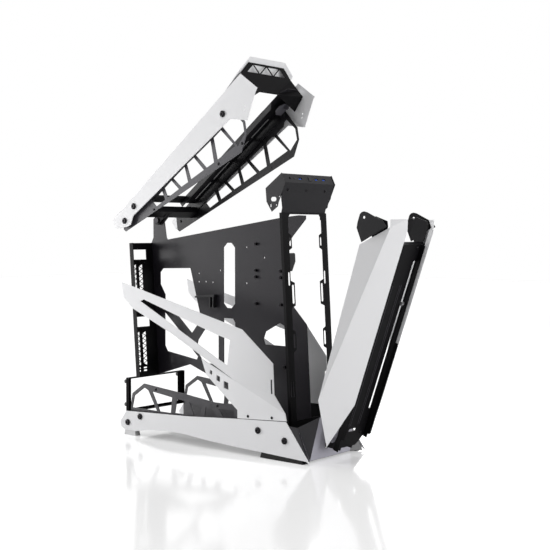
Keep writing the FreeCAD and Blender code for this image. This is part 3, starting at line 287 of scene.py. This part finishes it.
# pieces that aren't listed are satin black
finishes = {
    "whiteCoat": ["side_plate_left", "side_plate_right", "shroud_left", "shroud_right",
                  "lid_plate_left", "lid_plate_right", "lid_crown", "door_shell_left",
                  "door_shell_right"],
    "footWhite": ["rear_feet"],
    "footRubber": ["front_foot_strips"],
    "noseCoatPaintedReflection": ["nose_cover"],
    # the tray takes a lighter black, painted light
    "litTrayBlack": ["motherboard_tray"],
    # the base trusses take a lighter black, painted light
    "litTrussBlack": ["base_truss_left", "base_truss_right"],
    # the near lid truss takes the lightest black, painted light
    "litBlack": ["lid_truss_left"],
    "shadowBlack": ["psu_frame"],
    # these take a darker black, painted shade
    "shadedBlack": ["door_ear_left", "door_ear_right", "lid_truss_right", "lid_radiator_bracket"],
    # these take the darkest black, painted shade
    "deepShadeBlack": ["door_channel", "rear_panel", "slot_covers_upper", "slot_covers_lower",
                  "front_frame", "lid_cap", "lid_hinge_bracket", "base_pan"],
    "blackPlastic": ["power_button", "reset_button", "audio_jack", "control_board", "tray_hanger",
                     "psu_thumbscrews", "cable_clip"],
    "bluePlastic": ["usb_tongues"],
    "plainSteel": ["usb_shells", "door_hinge_pin"],
    "blackenedSteel": ["base_bolts", "skirt_screws", "slot_screws", "head_screws", "lid_bolts",
                       "lid_screws", "lid_spacers", "door_screws", "board_standoffs",
                       "lid_hinge_pin"],
}
coatOf = {name: coat for coat, names in finishes.items() for name in names}


def coatFor(name):
    return coats[coatOf.get(name, "satinBlack")]


for name, part in nodes.items():
    part.data.materials.clear()
    part.data.materials.append(coatFor(name))
print("finishes on every piece")


def clearSelection():
    bpy.ops.object.select_all(action="DESELECT")


def makeActive(piece):
    clearSelection()
    piece.select_set(True)
    bpy.context.view_layer.objects.active = piece


def applyModifier(piece, kind, settings):
    makeActive(piece)
    modifier = piece.modifiers.new(kind.lower(), kind)
    for key, value in settings.items():
        setattr(modifier, key, value)
    bpy.ops.object.modifier_apply(modifier=modifier.name)


def fitPiece(piece, name, node, coat=None):
    piece.name = name
    piece.data.name = name
    piece.data.materials.clear()
    piece.data.materials.append(coat or coatFor(node))
    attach(piece, bodyOf[node])


# the hinges of the lid and the door, and how far each is turned in the photograph
hinges = {"lid": {"place": (-0.303, 0, 0.600), "turned": -37.4},
          "door": {"place": (0.292, 0, 0.040), "turned": 19.4}}


def hingeTurn(hinge):
    turn = Matrix.Rotation(math.radians(hinge["turned"]), 4, "Y")
    return Matrix.Translation(hinge["place"]) @ turn


lidTurn = hingeTurn(hinges["lid"])
doorTurn = hingeTurn(hinges["door"])
millimetres = 1000


def metres(place):
    return Vector([part / millimetres for part in place])


def turnInto(piece, turn):
    piece.matrix_world = turn
    makeActive(piece)
    bpy.ops.object.transform_apply(location=True, rotation=True, scale=True)
    return piece


# a block between two corners in millimetres, with its corners cut off by planes
def cutBlock(low, high, cuts=(), turn=Matrix()):
    clearSelection()
    centre = metres([(a + b) / 2 for a, b in zip(low, high)])
    size = metres([b - a for a, b in zip(low, high)])
    bpy.ops.mesh.primitive_cube_add(size=1, location=centre, scale=size)
    piece = bpy.context.object
    bpy.ops.object.transform_apply(location=True, rotation=True, scale=True)
    bpy.ops.object.mode_set(mode="EDIT")
    for place, normal in cuts:
        bpy.ops.mesh.select_all(action="SELECT")
        bpy.ops.mesh.bisect(plane_co=metres(place), plane_no=normal, use_fill=True, clear_outer=True)
    bpy.ops.object.mode_set(mode="OBJECT")
    return turnInto(piece, turn)


def cylinder(sides, radius, low, depth):
    clearSelection()
    bpy.ops.mesh.primitive_cylinder_add(vertices=sides, radius=radius, depth=depth,
                                        location=(0, 0, low + depth / 2))
    piece = bpy.context.object
    bpy.ops.object.transform_apply(location=True, rotation=True, scale=True)
    return piece


def joined(pieces):
    clearSelection()
    for piece in pieces:
        piece.select_set(True)
    bpy.context.view_layer.objects.active = pieces[0]
    bpy.ops.object.join()
    return bpy.context.object


def carve(piece, cutter):
    applyModifier(piece, "BOOLEAN", {"object": cutter, "operation": "DIFFERENCE", "solver": "EXACT"})
    bpy.data.objects.remove(cutter)


# edges sharper than the corner angle are rounded, and bends below the smooth angle shade as one
cutEdge = {"segments": 2, "corner": 25, "smooth": 42}
sheetEdge = {**cutEdge, "smooth": 24}
turnedEdge = {"segments": 2, "corner": 50, "smooth": 40}
knurlEdge = {**turnedEdge, "segments": 1}
boltEdge = {"segments": 2, "corner": 40, "smooth": 35}
sheetRound, smallRound = 0.00045, 0.0002
fullWeight = 100


def bevelEdges(piece, width, edge):
    applyModifier(piece, "BEVEL", {"width": width, "segments": edge["segments"],
                                   "limit_method": "ANGLE",
                                   "angle_limit": math.radians(edge["corner"])})
    bpy.ops.object.shade_smooth_by_angle(angle=math.radians(edge["smooth"]))


def roundEdges(piece, width, edge=cutEdge):
    bevelEdges(piece, width, edge)
    applyModifier(piece, "WEIGHTED_NORMAL", {"weight": fullWeight, "keep_sharp": True})


mergeGap, flatAngle = 0.00001, 0.4


# a copy of a CAD node, left in edit mode with its doubled corners merged
def mergedCopy(name, label):
    piece = bpy.data.objects.new(label, nodes[name].data.copy())
    stage.objects.link(piece)
    makeActive(piece)
    bpy.ops.object.mode_set(mode="EDIT")
    bpy.ops.mesh.select_all(action="SELECT")
    bpy.ops.mesh.remove_doubles(threshold=mergeGap)
    return piece


# pieces whose cut edges and folds are rounded, as coated sheet has them
softNodes = ["side_plate_left", "side_plate_right", "shroud_left", "shroud_right",
             "lid_plate_left", "lid_plate_right", "lid_crown", "door_shell_left",
             "door_shell_right", "rear_feet", "front_foot_strips", "nose_cover",
             "base_truss_left", "base_truss_right", "psu_frame", "motherboard_tray",
             "front_frame", "control_head", "head_side_left", "head_side_right",
             "lid_truss_left", "lid_truss_right", "lid_cap", "lid_radiator_bracket",
             "door_channel", "door_ear_left", "door_ear_right", "base_pan"]
smallNodes = ["rear_panel", "slot_covers_upper", "slot_covers_lower", "cable_clip",
              "tray_hanger", "lid_hinge_bracket", "door_hinge_arms", "door_hinge_lugs",
              "lid_spacers", "lid_hinge_pin", "door_hinge_pin", "power_button",
              "reset_button", "usb_shells", "usb_tongues", "audio_jack"]
# the room between the crown's two arms, through which the photograph shows the background
crownNotch = {"low": (430, -95, 20), "high": (506, 95, 110)}


def softCopy(name, width, notch=None):
    piece = mergedCopy(name, name + "_sheet")
    bpy.ops.mesh.dissolve_limited(angle_limit=math.radians(flatAngle))
    bpy.ops.object.mode_set(mode="OBJECT")
    if notch:
        carve(piece, cutBlock(notch["low"], notch["high"], turn=lidTurn))
    roundEdges(piece, width, sheetEdge)
    fitPiece(piece, name + "_sheet", name)
    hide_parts(name)


for name in softNodes:
    softCopy(name, sheetRound, crownNotch if name == "lid_crown" else None)
for name in smallNodes:
    softCopy(name, smallRound)
print("rounded edges on", len(softNodes) + len(smallNodes), "pieces")

# how near to the axis a face's normal counts as an end, and how far from it as a side
endOn, sideOn = 0.9, 0.1


def pickFaces(piece, test):
    bpy.ops.mesh.select_all(action="DESELECT")
    shape = bmesh.from_edit_mesh(piece.data)
    for face in shape.faces:
        face.select_set(test(face))
    bmesh.update_edit_mesh(piece.data)


def stretch(lift, widen):
    bpy.ops.mesh.extrude_region_move(TRANSFORM_OT_translate={"value": (0, 0, lift)})
    bpy.ops.transform.resize(value=(widen, widen, 1))


# a domed head with a hex socket, on a short shank
def domedBolt(look):
    bolt = cylinder(look["sides"], look["radius"], 0, look["rim"])
    bpy.ops.object.mode_set(mode="EDIT")
    pickFaces(bolt, lambda face: face.normal.z > endOn)
    for lift, widen in look["dome"]:
        stretch(lift, widen)
    pickFaces(bolt, lambda face: face.normal.z < -endOn)
    stretch(0, look["shank"] / look["radius"])
    stretch(-look["reach"], 1)
    bpy.ops.object.mode_set(mode="OBJECT")
    top = look["rim"] + sum(lift for lift, widen in look["dome"])
    carve(bolt, cylinder(look["hex"], look["key"], top - look["deep"], 2 * look["deep"]))
    bevelEdges(bolt, look["round"], boltEdge)
    return bolt


# one piece made of a copy of the master at every turn
def stampCopies(master, turns, name, node, stands=True):
    made = []
    for turn in turns:
        copy = bpy.data.objects.new(name, master.data.copy())
        stage.objects.link(copy)
        made.append(turnInto(copy, turn))
    piece = joined(made)
    fitPiece(piece, name, node)
    if stands:
        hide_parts(node)
    bpy.data.objects.remove(master)


# places on both sides of the middle plane, with the heads pointing out
def sideTurns(places, half, frameTurn=Matrix()):
    turns = []
    for side in (-1, 1):
        for along, up in places:
            spin = Matrix.Rotation(math.radians(-90 * side), 4, "X")
            seat = Matrix.Translation(metres((along, side * half, up)))
            turns.append(frameTurn @ seat @ spin)
    return turns


bigBolt = {"sides": 32, "radius": 0.0086, "rim": 0.0018,
           "dome": [(0.0011, 0.93), (0.0009, 0.86), (0.0005, 0.72)], "shank": 0.0036,
           "reach": 0.006, "hex": 6, "key": 0.0034, "deep": 0.0022, "round": 0.0002}
smallScrew = {"sides": 32, "radius": 0.0036, "rim": 0.0009, "dome": [(0.0006, 0.88), (0.0005, 0.72)],
              "shank": 0.0015, "reach": 0.003, "hex": 6, "key": 0.0013, "deep": 0.0010,
              "round": 0.0001}

boltRows = {
    "base_bolts": {"look": bigBolt, "half": 118, "turn": Matrix(),
                   "places": [(-319.6, 35.0), (-269.4, 56.0), (161.5, 68.0), (247.7, 51.8)]},
    "lid_bolts": {"look": bigBolt, "half": 118, "turn": lidTurn,
                  "places": [(438, 4), (33, 23), (-21, 14)]},
    "skirt_screws": {"look": smallScrew, "half": 118, "turn": Matrix(),
                     "places": [(128, 100), (207, 104.6)]},
    "lid_screws": {"look": smallScrew, "half": 107, "turn": lidTurn,
                   "places": [(436, -91.5), (342, -81), (81, -26)]},
}
for node, row in boltRows.items():
    turns = sideTurns(row["places"], row["half"], row["turn"])
    stampCopies(domedBolt(row["look"]), turns, node + "_domed", node)

trussScrews = {"half": 107, "places": [(-218, 135), (12, 113)]}
stampCopies(domedBolt(smallScrew), sideTurns(trussScrews["places"], trussScrews["half"]),
            "truss_screws", "skirt_screws", stands=False)

# on the door's channel: height above its hinge line, then across and up in the door's own frame
doorScrews = {"level": 60, "places": [(-40, 48), (40, 48), (-44, 540), (44, 540)]}
doorSpin = Matrix.Rotation(math.radians(90), 4, "Y")


def onDoor(place):
    return doorTurn @ Matrix.Translation(metres(place)) @ doorSpin


stampCopies(domedBolt(smallScrew),
            [onDoor((doorScrews["level"], across, up)) for across, up in doorScrews["places"]],
            "door_screws_domed", "door_screws")

# corners this near to the widest one belong to the head's rim
rimShare = 0.9


# where each loose fastener of a CAD node sits, and the way its head points
def looseTurns(name, outward):
    mergedCopy(name, "loose")
    bpy.ops.mesh.separate(type="LOOSE")
    bpy.ops.object.mode_set(mode="OBJECT")
    turns = []
    for piece in list(bpy.context.selected_objects):
        ends = {}
        for face in piece.data.polygons:
            key = tuple(round(part, 1) for part in face.normal)
            ends[key] = ends.get(key, Vector()) + face.normal * face.area
        axis = max(ends.values(), key=lambda total: total.length).normalized()
        axis = axis if axis.dot(Vector(outward)) > 0 else -axis
        corners = [vertex.co for vertex in piece.data.vertices]
        centre = sum(corners, Vector()) / len(corners)
        lengths = [(corner - centre).dot(axis) for corner in corners]
        wide = [(corner - centre - axis * length).length for corner, length in zip(corners, lengths)]
        seat = min(length for length, reach in zip(lengths, wide) if reach > rimShare * max(wide))
        spin = axis.to_track_quat("Z", "Y").to_matrix().to_4x4()
        turns.append(Matrix.Translation(centre + axis * seat) @ spin)
        bpy.data.objects.remove(piece)
    return turns


# a knurled head with a collar under it and a driver slot across it
def thumbScrew(look):
    screw = cylinder(look["sides"], look["radius"], look["collar"], look["head"])
    capArea = look["radius"] ** 2
    bpy.ops.object.mode_set(mode="EDIT")
    pickFaces(screw, lambda face: abs(face.normal.z) < sideOn and face.index % 2 == 0)
    bpy.ops.mesh.extrude_faces_move(TRANSFORM_OT_shrink_fatten={"value": -look["knurl"]})
    pickFaces(screw, lambda face: face.normal.z < -endOn and face.calc_area() > capArea)
    bpy.ops.mesh.inset(thickness=look["step"])
    stretch(-look["collar"], 1)
    pickFaces(screw, lambda face: face.normal.z > endOn and face.calc_area() > capArea)
    bpy.ops.mesh.inset(thickness=look["step"])
    stretch(look["crown"], look["taper"])
    bpy.ops.object.mode_set(mode="OBJECT")
    top = look["collar"] + look["head"] + look["crown"]
    clearSelection()
    bpy.ops.mesh.primitive_cube_add(size=1, location=(0, 0, top),
                                    scale=(look["radius"], look["slot"], look["cut"]))
    carve(screw, bpy.context.object)
    roundEdges(screw, look["round"], knurlEdge)
    return screw


# a round post with a threaded hole in its end
def standoff(look):
    post = cylinder(look["sides"], look["radius"], 0, look["height"])
    bpy.ops.object.mode_set(mode="EDIT")
    pickFaces(post, lambda face: face.normal.z > endOn)
    bpy.ops.mesh.inset(thickness=look["radius"] - look["bore"])
    stretch(-look["deep"], 1)
    bpy.ops.object.mode_set(mode="OBJECT")
    roundEdges(post, look["round"], turnedEdge)
    return post


thumbLook = {"sides": 36, "radius": 0.0054, "head": 0.0085, "collar": 0.0028, "knurl": 0.0005,
             "step": 0.0011, "crown": 0.0006, "taper": 0.9, "slot": 0.0012, "cut": 0.002,
             "round": 0.0001}
standoffLook = {"sides": 32, "radius": 0.0040, "height": 0.0069, "bore": 0.0015, "deep": 0.005,
                "round": 0.0004}
looseRows = [
    {"make": thumbScrew, "look": thumbLook, "node": "psu_thumbscrews", "outward": (-1, 0, 0),
     "name": "psu_thumbscrews_turned"},
    {"make": standoff, "look": standoffLook, "node": "board_standoffs", "outward": (0, -1, 0),
     "name": "board_standoffs_turned"},
    {"make": domedBolt, "look": smallScrew, "node": "slot_screws", "outward": (0, 0, 1),
     "name": "slot_screws_domed"},
    {"make": domedBolt, "look": smallScrew, "node": "head_screws", "outward": (1, 0, -0.2),
     "name": "head_screws_domed"},
]
for row in looseRows:
    master = row["make"](row["look"])
    stampCopies(master, looseTurns(row["node"], row["outward"]), row["name"], row["node"])
print("bolts, screws and standoffs modelled")

# the wide rail's end under the lid's nose: each block has two corners and the planes that cut it
noseCut = ((517, 40, 22), (64, -18, 0))
rakeCut = ((484, 0, 22), (1, 0, -0.9))
heelCut = ((400, 0, -22), (-1, 0, -2.2))
railHead = {"plate": ((449, 45, 22), (540, 104.6, 23.2), [noseCut]),
            "flange": ((449, 45, 8), (506, 46.2, 22), [rakeCut]),
            "skirt": ((360, 103.4, -22), (506, 104.6, 22), [rakeCut, heelCut])}
# the catch on it: a plate with two corners cut off, a hook below and a stem above
rearCut = ((474, 60, 0), (-1, -1.1, 0))
foreCut = ((490, 60, 0), (1, -0.9, 0))
hookCut = ((494, 0, -9), (-1, 0, -0.6))
latch = {"plate": ((458, 60, 4), (502, 99, 5.2), [rearCut, foreCut]),
         "hook": ((488, 79.5, -9), (502, 80.7, 4), [hookCut]),
         "stem": ((464, 97.8, 4), (494, 99, 22), [])}


def makeLidPiece(blocks, name, coat):
    piece = joined([cutBlock(low, high, cuts, lidTurn) for low, high, cuts in blocks.values()])
    roundEdges(piece, smallRound)
    fitPiece(piece, name, "lid_radiator_bracket", coats[coat])


makeLidPiece(railHead, "lid_rail_head", "satinBlack")
# the latch takes the lightest black, painted light
makeLidPiece(latch, "lid_latch", "litBlack")

# the toothed strip along each flange of the door's channel, in the door's own frame
comb = {"face": 55.5, "sheet": 1.1, "rise": (71.5, 79.6), "span": (42, 296),
        "foot": ((71.5, 0, 46), (0.5, 0, -1)), "toothRise": (79.2, 81.2),
        "toothSpan": (53, 55.2), "pitch": 4.2, "count": 57}


def makeComb(side, name):
    low, high = sorted((side * comb["face"], side * (comb["face"] + comb["sheet"])))
    strip = cutBlock((comb["rise"][0], low, comb["span"][0]),
                     (comb["rise"][1], high, comb["span"][1]), [comb["foot"]])
    tooth = cutBlock((comb["toothRise"][0], low, comb["toothSpan"][0]),
                     (comb["toothRise"][1], high, comb["toothSpan"][1]))
    applyModifier(tooth, "ARRAY", {"count": comb["count"], "use_relative_offset": False,
                                   "use_constant_offset": True,
                                   "constant_offset_displace": metres((0, 0, comb["pitch"]))})
    piece = turnInto(joined([strip, tooth]), doorTurn)
    roundEdges(piece, smallRound)
    fitPiece(piece, name, "door_channel")


# fold lines that stand up from the channel's web on both sides of its middle, in the lightest black as
# a painted highlight along each fold
ridges = {"across": (-22, -15, 15, 22), "level": (59.1, 60.8), "width": 1.0, "span": (74, 444)}


def makeRidges():
    half = ridges["width"] / 2
    strips = [cutBlock((ridges["level"][0], across - half, ridges["span"][0]),
                       (ridges["level"][1], across + half, ridges["span"][1]))
              for across in ridges["across"]]
    piece = turnInto(joined(strips), doorTurn)
    roundEdges(piece, smallRound)
    fitPiece(piece, "door_ridges", "door_channel", coats["litBlack"])


# the round catch beside the channel's slit
catch = {"sides": 32, "radius": 0.0060, "height": 0.006, "bore": 0.0016, "deep": 0.0008,
         "round": 0.0003, "place": (59.2, 47.8, 396)}


def makeCatch():
    piece = turnInto(standoff(catch), onDoor(catch["place"]))
    fitPiece(piece, "door_catch", "door_screws", coats["plainSteel"])


makeComb(1, "door_comb_right")
makeComb(-1, "door_comb_left")
makeRidges()
makeCatch()
print("lid rail's end, latch, door's strips, ridges and catch modelled")

# a glossy floor that the camera sees a little brighter than it lights the pieces
floorLook = {"size": 18.0, "colour": 0.90, "gloss": 0.10, "marks": 0.02, "grain": (3.0, 2.0, 0.5),
             "specular": 0.5, "lift": 0.29}


def floorMaterial():
    paint = Paint("studioFloor")
    seen = paint.node("ShaderNodeLightPath", output="Is Camera Ray") * floorLook["lift"]
    cloud = paint.noise(floorLook["grain"], paint.place())
    lift = paint.node("ShaderNodeCombineColor", None, {"Red": seen, "Green": seen, "Blue": seen})
    return paint.skin({"Base Color": shade(floorLook["colour"]),
                       "Roughness": floorLook["gloss"] + cloud * floorLook["marks"],
                       "Specular IOR Level": floorLook["specular"], "Emission Color": lift,
                       "Emission Strength": 1.0})


def makeFloor():
    clearSelection()
    bpy.ops.mesh.primitive_plane_add(size=floorLook["size"], location=(0, 0, 0))
    floor = bpy.context.object
    floor.name = "studioFloor"
    floor.data.materials.append(floorMaterial())


makeFloor()

# a white sky: full strength where it is seen or mirrored, weaker as light
skyLook = {"colour": (1, 1, 1, 1), "ambient": 0.22, "seen": 1.0,
           "rays": ("Is Camera Ray", "Is Glossy Ray", "Is Transmission Ray")}
world = bpy.data.worlds.new("studio")
bpy.context.scene.world = world
world.use_nodes = True
worldTree = world.node_tree
worldTree.nodes.clear()
rays = worldTree.nodes.new("ShaderNodeLightPath")
strength = worldTree.nodes.new("ShaderNodeMapRange")
sky = worldTree.nodes.new("ShaderNodeBackground")
worldOut = worldTree.nodes.new("ShaderNodeOutputWorld")
last = rays.outputs[skyLook["rays"][0]]
for ray in skyLook["rays"][1:]:
    either = worldTree.nodes.new("ShaderNodeMath")
    either.operation = "MAXIMUM"
    worldTree.links.new(last, either.inputs[0])
    worldTree.links.new(rays.outputs[ray], either.inputs[1])
    last = either.outputs[0]
worldTree.links.new(last, strength.inputs["Value"])
strength.inputs["To Min"].default_value = skyLook["ambient"]
strength.inputs["To Max"].default_value = skyLook["seen"]
sky.inputs["Color"].default_value = skyLook["colour"]
worldTree.links.new(strength.outputs[0], sky.inputs["Strength"])
worldTree.links.new(sky.outputs[0], worldOut.inputs["Surface"])

lamps = [
    {"name": "leftSoftbox", "place": (-3.6, -1.9, 1.0), "aim": (0.0, 0.0, 0.5), "size": 2.1,
     "power": 126},
    {"name": "frontSoftbox", "place": (3.3, 0.35, 0.8), "aim": (0.2, 0.0, 0.4), "size": 1.8,
     "power": 60},
    {"name": "rearSoftbox", "place": (-1.4, 3.2, 1.5), "aim": (0.0, 0.0, 0.45), "size": 2.0,
     "power": 26},
    {"name": "topSoftbox", "place": (-0.2, -0.8, 3.5), "aim": (0.0, 0.0, 0.3), "size": 2.6,
     "power": 42},
]
for lamp in lamps:
    light = bpy.data.lights.new(lamp["name"], "AREA")
    light.size = lamp["size"]
    light.energy = lamp["power"]
    holder = bpy.data.objects.new(lamp["name"], light)
    holder.location = lamp["place"]
    aim = Vector(lamp["aim"]) - Vector(lamp["place"])
    holder.rotation_euler = aim.to_track_quat("-Z", "Y").to_euler()
    stage.objects.link(holder)
print("floor and lamps placed")

bpy.context.view_layer.update()
